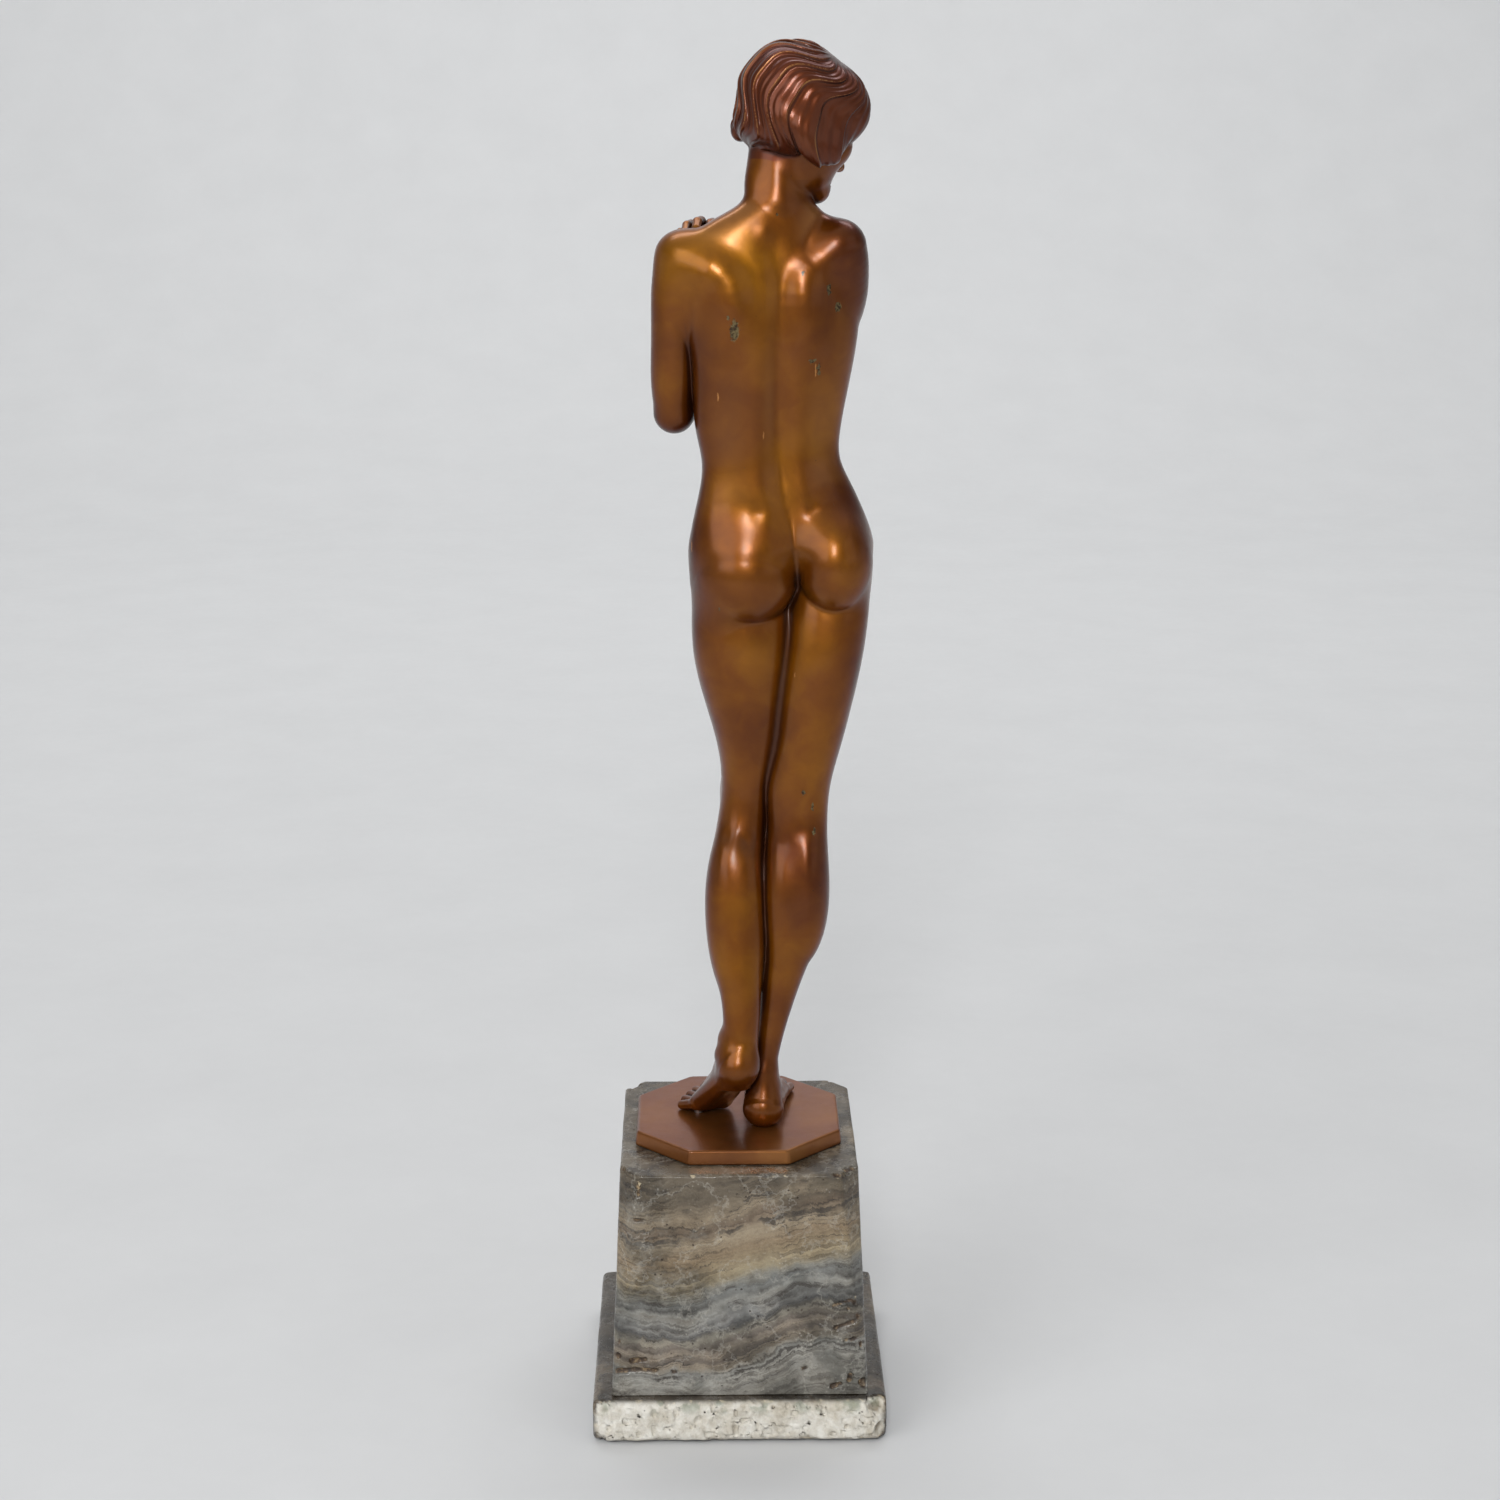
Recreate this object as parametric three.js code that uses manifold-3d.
// Bronze statuette of a standing woman, arms crossed over her chest, on an onyx pedestal.
// Millimetres, +Z up, origin at the centre of the underside. The figure faces -Y and its left
// side is at +X. The casting, the pedestal and the hardware that holds them are separate pieces.
import * as THREE from 'three';
import { LoftGeometry } from 'three/addons/geometries/LoftGeometry.js';
import { mergeVertices } from 'three/addons/utils/BufferGeometryUtils.js';
import Module from 'manifold-3d';

const wasm = await Module();
wasm.setup();

// ---- driving dimensions -------------------------------------------------------------------
const GAP = 0.3;                    // play left where one piece is cut by its neighbour

const FELT_THICK = 0.8;
const FELT_INSET = 5;
const SLAB_WIDTH = 95;              // along X
const SLAB_DEPTH = 102;             // along Y
const SLAB_TOP = 15;
const SLAB_CORNER = 4;              // radius of the worn vertical corners
const SLAB_BEVEL = 1.2;

const COLUMN_FOOT = [83, 91];       // X and Y size where it stands on the slab
const COLUMN_HEAD = [76.4, 82.7];
const COLUMN_CHAMFER = [6.2, 7];    // corner cut at the head; it runs out towards the foot
const CHAMFER_RUNOUT = 0.06;        // share of the head's corner cut left at the foot
const COLUMN_TOP = 90;

const PLATE_SIZE = 66.4;
const PLATE_FLARE = 0.5;            // the lower edge stands out this far
const PLATE_CUT = 17.4;             // leg of each corner cut
const PLATE_TOP = 95;
const BOSS_RADIUS = 5.5;            // boss under the plate that takes the tie rod
const BOSS_DROP = 6;

const ROD_RADIUS = 3;
const COUNTERBORE_RADIUS = 12;
const COUNTERBORE_DEPTH = 9;
const WASHER = { radius: 9, thick: 1.6 };
const SPRING_WASHER = { radius: 5.6, thick: 1.4 };
const ROD_NUT = { flats: 10, thick: 4.4 };
const STUD_RADIUS = 1.5;
const STUD_NUT = { flats: 5.5, thick: 2.4 };
const NUT_POCKET = { radius: 4.5, deep: 6.5 };
const RIGHT_STUD = { x: -8.6, y: 10, top: 104 };
const LEFT_STUD = { x: 13, y: 0, top: 100.5 };

const WALL = 4;                     // bronze left round the casting's core
const NECK_SEAM = 399;              // height where the head piece begins
const SPIGOT = { radius: 4.6, drop: 14 };
const PIN_RADIUS = 1.2;

// ---- materials ----------------------------------------------------------------------------
const finish = (color, roughness, metalness) => new THREE.MeshStandardMaterial({ color, roughness, metalness });
const bronze = finish(0x7a5233, 0.35, 1);
const onyx = finish(0x8f8b84, 0.3, 0);
const steel = finish(0x9a9a98, 0.4, 1);
const felt = finish(0x2f4a38, 0.95, 0);

// ---- solids -------------------------------------------------------------------------------
function solid(geometry) {
  const bare = new THREE.BufferGeometry();
  bare.setAttribute('position', geometry.getAttribute('position'));
  bare.setIndex(geometry.getIndex());
  const merged = mergeVertices(bare, 1e-4);
  const vertProperties = new Float32Array(merged.getAttribute('position').array);
  const triVerts = new Uint32Array(merged.getIndex().array);
  return new wasm.Manifold(new wasm.Mesh({ numProp: 3, vertProperties, triVerts }));
}

function geometryOf(body) {
  const mesh = body.getMesh();
  const geometry = new THREE.BufferGeometry();
  geometry.setAttribute('position', new THREE.BufferAttribute(mesh.vertProperties, 3));
  geometry.setIndex(new THREE.BufferAttribute(mesh.triVerts, 1));
  geometry.computeVertexNormals();
  return geometry;
}

const join = (pieces) => pieces.reduce((whole, piece) => whole.add(piece));
const cut = (piece, tools) => tools.reduce((left, tool) => left.subtract(tool), piece);

// A round bar or bore along Z, X or Y, from one end to the other.
function bar(radius, from, to, sides = 16) {
  const start = new THREE.Vector3(...from);
  const run = new THREE.Vector3(...to).sub(start);
  const geometry = new THREE.CylinderGeometry(radius, radius, run.length(), sides);
  geometry.rotateX(Math.PI / 2);
  geometry.applyQuaternion(new THREE.Quaternion().setFromUnitVectors(
    new THREE.Vector3(0, 0, 1), run.clone().normalize()));
  const middle = start.addScaledVector(run, 0.5);
  geometry.translate(middle.x, middle.y, middle.z);
  return solid(geometry);
}

function hexNut(x, y, bottom, size, bore) {
  const nut = bar(size.flats / Math.sqrt(3), [x, y, bottom], [x, y, bottom + size.thick], 6);
  return nut.subtract(bar(bore, [x, y, bottom - 1], [x, y, bottom + size.thick + 1]));
}

function ring(outer, bore, bottom, thick) {
  return bar(outer, [0, 0, bottom], [0, 0, bottom + thick], 32)
    .subtract(bar(bore, [0, 0, bottom - 1], [0, 0, bottom + thick + 1]));
}

function ellipsoid(centre, half, sides = 20) {
  const geometry = new THREE.SphereGeometry(1, sides, Math.round(sides * 0.6));
  geometry.scale(...half);
  geometry.translate(...centre);
  return geometry;
}

// ---- lofted flesh -------------------------------------------------------------------------
// Level stations: [height, right edge, left edge, front, back]. A smooth curve runs through
// them, and each section is a level superellipse that fills its four edges.
function levelLoft(stations, grow = 0, sides = 20, perStation = 2, squareness = 2.2) {
  const across = new THREE.CatmullRomCurve3(stations.map(([z, a, b]) => new THREE.Vector3(z, a, b)));
  const through = new THREE.CatmullRomCurve3(stations.map(([z, , , a, b]) => new THREE.Vector3(z, a, b)));
  for (const curve of [across, through]) curve.curveType = 'catmullrom';
  const rings = (stations.length - 1) * perStation;
  const power = 2 / squareness;
  const sections = [];
  for (let i = 0; i <= rings; i += 1) {
    const x = across.getPoint(i / rings);
    const y = through.getPoint(i / rings);
    const end = i === 0 ? -1 : Math.floor(i / rings);
    const section = [];
    for (let k = 0; k < sides; k += 1) {
      const turn = (k / sides) * 2 * Math.PI;
      const c = Math.cos(turn);
      const s = Math.sin(turn);
      section.push(new THREE.Vector3(
        (x.y + x.z) / 2 + ((x.z - x.y) / 2 + grow) * Math.sign(c) * Math.abs(c) ** power,
        (y.y + y.z) / 2 + ((y.z - y.y) / 2 + grow) * Math.sign(s) * Math.abs(s) ** power,
        x.x + grow * end));
    }
    sections.push(section);
  }
  return solid(new LoftGeometry(sections, { capStart: true, capEnd: true }));
}

// Limb stations: [x, y, z, half width, half thickness]. Sections stand square to the path, and
// `flat` is the direction that the thickness is measured in. Both ends are rounded.
function limb(stations, flat = [0, 1, 0], grow = 0, sides = 10, perStation = 2) {
  const path = new THREE.CatmullRomCurve3(stations.map(([x, y, z]) => new THREE.Vector3(x, y, z)));
  const sizes = new THREE.CatmullRomCurve3(stations.map(([, , , w, t]) => new THREE.Vector3(w, t, 0)));
  for (const curve of [path, sizes]) curve.curveType = 'catmullrom';
  const rings = (stations.length - 1) * perStation;
  const sections = [];
  const addSection = (u, scale, push) => {
    const along = path.getTangent(u);
    const wide = new THREE.Vector3(...flat).cross(along).normalize();
    const thick = along.clone().cross(wide);
    const size = sizes.getPoint(u);
    const centre = path.getPoint(u).addScaledVector(along, push * (Math.min(size.x, size.y) + grow));
    const section = [];
    for (let k = 0; k < sides; k += 1) {
      const turn = (k / sides) * 2 * Math.PI;
      section.push(centre.clone()
        .addScaledVector(wide, (size.x + grow) * scale * Math.cos(turn))
        .addScaledVector(thick, (size.y + grow) * scale * Math.sin(turn)));
    }
    sections.push(section);
  };
  const dome = [0.35, 0.75];                       // where the rounded end's two rings stand
  for (const step of [...dome].reverse()) addSection(0, Math.sqrt(1 - step * step), -step);
  for (let i = 0; i <= rings; i += 1) addSection(i / rings, 1, 0);
  for (const step of dome) addSection(1, Math.sqrt(1 - step * step), step);
  return solid(new LoftGeometry(sections, { capStart: true, capEnd: true }));
}

// ---- figure: stations ---------------------------------------------------------------------
const TORSO = [
  [257, -31, 4, -7, 9], [264, -39.5, 13.5, -13, 16], [275, -42.4, 15.1, -15.5, 19],
  [285, -42, 14.8, -16.2, 18], [294, -39.8, 14, -16.5, 14.8], [303, -37, 12.3, -16, 11.6],
  [313, -32.6, 11.5, -15, 10.2], [322, -32.6, 13.2, -15, 10.8], [334, -34.8, 14, -17, 12.6],
  [346, -36.6, 15, -20, 14.6], [357, -36.4, 17, -20.5, 15.4], [367, -34, 18, -17.5, 15],
  [376, -32, 17.5, -12.5, 13.6], [383, -30, 13, -9, 11.8], [388, -26.5, 5, -6.4, 10],
  [392, -23.6, -0.8, -5.4, 8.6], [397, -21.4, -2.4, -6, 7.2], [402, -21, -2.9, -6.6, 6],
];
const RIGHT_LEG = [
  [282, -37, -14, -11, 13], [272, -41.6, -14, -14.6, 17.4], [262, -41.7, -15.4, -15.2, 17], [250, -40, -14.3, -15.2, 14.4],
  [235, -36.9, -12.8, -14.6, 12], [220, -33.2, -11.7, -13.2, 10], [207, -30, -10.4, -11.4, 8.4],
  [196, -29.1, -10.6, -9.6, 8.6], [185, -29.2, -9.4, -8, 10.2], [173, -29.2, -8.2, -6.2, 12.6],
  [160, -27.6, -8.6, -5, 12.8], [148, -23.8, -8.8, -3.4, 11.8], [134, -18.6, -8, -1, 11],
  [120, -14.6, -6.8, 1.4, 12], [108, -12.4, -4.6, 0.6, 15], [100, -13, -3.4, 3, 16],
].reverse();
const LEFT_LEG = [
  [282, -12, 11, -11, 13], [272, -15.6, 14.6, -15, 17.4], [262, -15.6, 15.1, -16.6, 17.2], [250, -14.2, 13.8, -17.8, 14.4],
  [235, -12.6, 10.6, -18.6, 10], [220, -11.4, 6.3, -18.8, 6], [208, -9.2, 5.2, -18, 3.2],
  [196, -8, 6.6, -15.4, 2.8], [185, -7.6, 8.9, -12, 6], [173, -7.1, 10.1, -7.4, 11.6],
  [160, -6.6, 9.3, -2.4, 16], [148, -6.2, 7.6, 3.2, 18.8], [136, -5.8, 5.8, 9.4, 21.6],
  [126, -5.2, 5.6, 13.6, 25.4], [117, -4.4, 6, 15.4, 27],
].reverse();
const RIGHT_FOOT = [
  [-8.2, 11.5, 99.6, 4.9, 4.8], [-9, 5, 103, 5.2, 7.6], [-10.6, -4, 100.5, 6.2, 6.4],
  [-12.8, -14, 98.3, 7.6, 3.9], [-14.4, -23, 97, 6.2, 2.4],
];
const LEFT_FOOT = [
  [0.6, 22.4, 117, 5, 5.4], [4, 16.6, 115.6, 4.9, 6.6], [8.2, 8.6, 108, 5.8, 5.4],
  [12.2, 1, 100.6, 7, 5], [15.6, -5, 97.6, 5.8, 2.8],
];
const LEFT_UPPER_ARM = [
  [16, 1.5, 373.5, 8.6, 8.8], [19, 1.6, 364, 7.2, 8], [20, 1.4, 350, 6.5, 7.4],
  [20.2, 0, 338, 6.2, 6.6], [19, -2, 327.6, 5.6, 5.8],
];
const LEFT_FOREARM = [
  [18.8, -3.4, 327.4, 5.4, 5.6], [13, -15, 334, 6.2, 6], [2, -29.5, 346, 5.4, 5],
  [-9, -37, 357, 3.6, 3.4],
];
const LEFT_HAND = [
  [-9.6, -37, 357.6, 3.4, 3.2], [-15, -36, 363, 4.6, 2.6], [-20.6, -31.6, 368.5, 5, 2],
  [-27, -25, 374.6, 3.8, 1.6],
];
const RIGHT_UPPER_ARM = [
  [-31.5, 0.6, 374, 8.4, 8.8], [-33, -5.6, 364, 6.6, 7.8], [-31, -14, 353, 6.2, 6.8],
  [-27, -22, 343, 5.8, 6.2], [-23, -27.6, 335, 5.4, 5.6],
];
const RIGHT_FOREARM = [
  [-22.4, -28.4, 334.6, 5.2, 5.4], [-13, -27.6, 345.6, 5.8, 5.2], [-3.4, -27, 358, 4.8, 4.4],
  [5, -24.4, 370, 3.6, 3.2],
];
const RIGHT_HAND = [
  [5.4, -24, 370.6, 3.4, 3.2], [8.6, -19.4, 378, 4.4, 3], [11, -11, 384.2, 4.8, 2.2],
  [12.4, -2, 386.4, 3.8, 1.6],
];

// ---- figure: castings ---------------------------------------------------------------------
const ACROSS_CHEST = [0, -1, 0.35];                 // the back of each hand faces this way

function figureOuter(grow) {
  return join([
    levelLoft(TORSO, grow, 22),
    levelLoft(RIGHT_LEG, grow, 12, 1),
    levelLoft(LEFT_LEG, grow, 12, 1),
    limb(RIGHT_FOOT, [0, 0, 1], grow),
    limb(LEFT_FOOT, [0, 0, 1], grow),
  ]);
}

function castingCore() {
  const inside = (stations, low, high) => stations.filter(([z]) => z > low && z < high);
  const neck = bar(SPIGOT.radius + GAP, [-12.2, 1.2, 380], [-12.2, 1.2, NECK_SEAM + 5]);
  return join([
    levelLoft(inside(TORSO, 260, 384), -WALL, 12, 1),
    levelLoft(inside(RIGHT_LEG, 205, 280), -WALL, 8, 1),
    levelLoft(inside(LEFT_LEG, 205, 280), -WALL, 8, 1),
    neck,
  ]);
}

const block = (low, high) => {
  const size = high.map((value, i) => value - low[i]);
  const geometry = new THREE.BoxGeometry(...size);
  geometry.translate(...low.map((value, i) => value + size[i] / 2));
  return solid(geometry);
};
const belowSole = block([-60, -60, 60], [60, 60, PLATE_TOP]);
const aboveSeam = block([-60, -60, NECK_SEAM], [60, 60, NECK_SEAM + 60]);
const belowSeam = block([-60, -60, NECK_SEAM - 60], [60, 60, NECK_SEAM + GAP]);

const shoulderPins = {
  left: [[6, 1, 370], [21, 1.6, 370]],
  right: [[-24, 0, 370], [-36.5, -1, 371]],
};
const neckPin = [[-12.2, -4.4, 392], [-12.2, 7.6, 392]];
const studHole = (stud) => bar(STUD_RADIUS + GAP, [stud.x, stud.y, 60], [stud.x, stud.y, stud.top + 0.5]);
const pinHole = ([from, to]) => {
  const way = new THREE.Vector3(...to).sub(new THREE.Vector3(...from)).normalize();
  const reach = (point, step) => new THREE.Vector3(...point).addScaledVector(way, step).toArray();
  return bar(PIN_RADIUS + GAP, reach(from, -GAP), reach(to, GAP));
};

function figureBody() {
  return cut(figureOuter(0), [
    belowSole, aboveSeam, castingCore(), studHole(RIGHT_STUD), studHole(LEFT_STUD),
    pinHole(shoulderPins.left), pinHole(shoulderPins.right), pinHole(neckPin),
  ]);
}

function rightArm(grow = 0) {
  return join([
    limb(RIGHT_UPPER_ARM, [0, 1, 0], grow, 12),
    limb(RIGHT_FOREARM, ACROSS_CHEST, grow),
    limb(RIGHT_HAND, ACROSS_CHEST, grow),
  ]);
}

function leftArm() {
  return join([
    limb(LEFT_UPPER_ARM, [0, 1, 0], 0, 12),
    limb(LEFT_FOREARM, ACROSS_CHEST),
    limb(LEFT_HAND, ACROSS_CHEST),
  ]);
}

// The head bows forward and turns to the figure's right. Its own frame faces -Y.
const HEAD_CENTRE = [-19.2, -2.4, 418.9];
const HEAD_BOW = 24;
const HEAD_TURN = -50;

function head() {
  const degrees = Math.PI / 180;
  const turned = (geometry) => {
    geometry.rotateX(HEAD_BOW * degrees);
    geometry.rotateZ(HEAD_TURN * degrees);
    geometry.translate(...HEAD_CENTRE);
    return solid(geometry);
  };
  const hair = turned(ellipsoid([0, 3, 2.5], [18.4, 20, 17.6], 22));
  const nape = turned(ellipsoid([0, 6.5, -7], [15.6, 12.5, 12], 16));
  const face = turned(ellipsoid([0, -5.4, -5.5], [12.6, 13.4, 18.5], 18));
  const nose = turned(ellipsoid([0, -18.4, -6.2], [1.7, 3, 4.6], 10));
  const neck = limb([[-15.6, 0, 410, 8.6, 8], [-12.4, 0.8, NECK_SEAM - 4, 9, 7]], [0, 1, 0], 0, 18, 3);
  const shell = cut(join([hair, nape, face, nose, neck]), [belowSeam]);
  const spigot = bar(SPIGOT.radius, [-12.2, 1.2, NECK_SEAM - SPIGOT.drop], [-12.2, 1.2, NECK_SEAM + 6]);
  return cut(shell.add(spigot), [pinHole(neckPin)]);
}

// ---- pedestal -----------------------------------------------------------------------------
function roundedSlab(width, depth, corner, bottom, thick, bevel) {
  const w = width / 2 - corner - bevel;
  const d = depth / 2 - corner - bevel;
  const outline = new THREE.Shape();
  outline.absarc(w, d, corner, 0, Math.PI / 2);
  outline.absarc(-w, d, corner, Math.PI / 2, Math.PI);
  outline.absarc(-w, -d, corner, Math.PI, Math.PI * 1.5);
  outline.absarc(w, -d, corner, Math.PI * 1.5, Math.PI * 2);
  const geometry = new THREE.ExtrudeGeometry(outline, {
    depth: thick - 2 * bevel, bevelEnabled: bevel > 0, bevelThickness: bevel, bevelSize: bevel,
    bevelSegments: 2, curveSegments: 5,
  });
  geometry.translate(0, 0, bottom + bevel);
  return solid(geometry);
}

// Eight-sided level section: a rectangle whose corners are cut back along X and Y.
function cutRectangle(width, depth, cutX, cutY, z) {
  const points = [];
  for (const [sx, sy] of [[1, 1], [-1, 1], [-1, -1], [1, -1]]) {
    const onSide = new THREE.Vector3(sx * width / 2, sy * (depth / 2 - cutY), z);
    const onEnd = new THREE.Vector3(sx * (width / 2 - cutX), sy * depth / 2, z);
    points.push(...(sx * sy > 0 ? [onSide, onEnd] : [onEnd, onSide]));
  }
  return points;
}

function column() {
  const [cx, cy] = COLUMN_CHAMFER;
  const body = solid(new LoftGeometry([
    cutRectangle(...COLUMN_FOOT, cx * CHAMFER_RUNOUT, cy * CHAMFER_RUNOUT, SLAB_TOP),
    cutRectangle(...COLUMN_HEAD, cx, cy, COLUMN_TOP),
  ], { capStart: true, capEnd: true }));
  const pocket = ({ x, y }) => bar(NUT_POCKET.radius, [x, y, COLUMN_TOP - NUT_POCKET.deep],
    [x, y, COLUMN_TOP + 1], 20);
  const socket = bar(BOSS_RADIUS + GAP, [0, 0, COLUMN_TOP - BOSS_DROP - GAP], [0, 0, COLUMN_TOP + 1], 24);
  const bore = bar(ROD_RADIUS + 1, [0, 0, 0], [0, 0, COLUMN_TOP + 1], 20);
  return cut(body, [bore, socket, pocket(RIGHT_STUD), pocket(LEFT_STUD)]);
}

function plate() {
  const flared = PLATE_SIZE + 2 * PLATE_FLARE;
  const body = solid(new LoftGeometry([
    cutRectangle(flared, flared, PLATE_CUT, PLATE_CUT, COLUMN_TOP),
    cutRectangle(PLATE_SIZE, PLATE_SIZE, PLATE_CUT, PLATE_CUT, PLATE_TOP),
  ], { capStart: true, capEnd: true }));
  const boss = bar(BOSS_RADIUS, [0, 0, COLUMN_TOP - BOSS_DROP], [0, 0, COLUMN_TOP + 1], 24);
  const thread = bar(ROD_RADIUS + GAP, [0, 0, 60], [0, 0, PLATE_TOP - 1.5], 20);
  return cut(body.add(boss), [thread, studHole(RIGHT_STUD), studHole(LEFT_STUD)]);
}

function slab() {
  const body = roundedSlab(SLAB_WIDTH, SLAB_DEPTH, SLAB_CORNER, FELT_THICK, SLAB_TOP - FELT_THICK, SLAB_BEVEL);
  return cut(body, [
    bar(ROD_RADIUS + 1, [0, 0, -1], [0, 0, SLAB_TOP + 1], 20),
    bar(COUNTERBORE_RADIUS, [0, 0, -1], [0, 0, FELT_THICK + COUNTERBORE_DEPTH], 28),
  ]);
}

// ---- hardware -----------------------------------------------------------------------------
const washerBottom = FELT_THICK + COUNTERBORE_DEPTH - WASHER.thick;
const springBottom = washerBottom - SPRING_WASHER.thick;
const rodNutBottom = springBottom - ROD_NUT.thick;
const studNutBottom = COLUMN_TOP - STUD_NUT.thick;
const stud = ({ x, y, top }) => bar(STUD_RADIUS, [x, y, studNutBottom - 1.5], [x, y, top]);
const studNut = ({ x, y }) => hexNut(x, y, studNutBottom, STUD_NUT, STUD_RADIUS + GAP);

// ---- assembly -----------------------------------------------------------------------------
const statuette = new THREE.Group();
function place(name, body, material) {
  const mesh = new THREE.Mesh(geometryOf(body), material);
  mesh.name = name;
  statuette.add(mesh);
}

const bodyClearance = figureOuter(GAP);
const rightArmShape = rightArm();
place('figure_body', figureBody(), bronze);
place('head', head(), bronze);
place('right_arm', cut(rightArmShape, [bodyClearance, pinHole(shoulderPins.right)]), bronze);
place('left_arm', cut(leftArm(), [bodyClearance, rightArm(GAP), pinHole(shoulderPins.left)]), bronze);
place('neck_pin', bar(PIN_RADIUS, ...neckPin), bronze);
place('left_shoulder_pin', bar(PIN_RADIUS, ...shoulderPins.left), bronze);
place('right_shoulder_pin', bar(PIN_RADIUS, ...shoulderPins.right), bronze);
place('plinth_plate', plate(), bronze);
place('foot_stud_right', stud(RIGHT_STUD), steel);
place('foot_stud_left', stud(LEFT_STUD), steel);
place('foot_nut_right', studNut(RIGHT_STUD), steel);
place('foot_nut_left', studNut(LEFT_STUD), steel);
place('onyx_column', column(), onyx);
place('onyx_slab', slab(), onyx);
place('tie_rod', bar(ROD_RADIUS, [0, 0, rodNutBottom - 0.8], [0, 0, PLATE_TOP - 2]), steel);
place('washer', ring(WASHER.radius, ROD_RADIUS + GAP, washerBottom, WASHER.thick), steel);
place('spring_washer', ring(SPRING_WASHER.radius, ROD_RADIUS + GAP, springBottom, SPRING_WASHER.thick), steel);
place('rod_nut', hexNut(0, 0, rodNutBottom, ROD_NUT, ROD_RADIUS + GAP), steel);
place('felt_pad', roundedSlab(SLAB_WIDTH - 2 * FELT_INSET, SLAB_DEPTH - 2 * FELT_INSET, SLAB_CORNER, 0,
  FELT_THICK, 0), felt);

export default statuette;
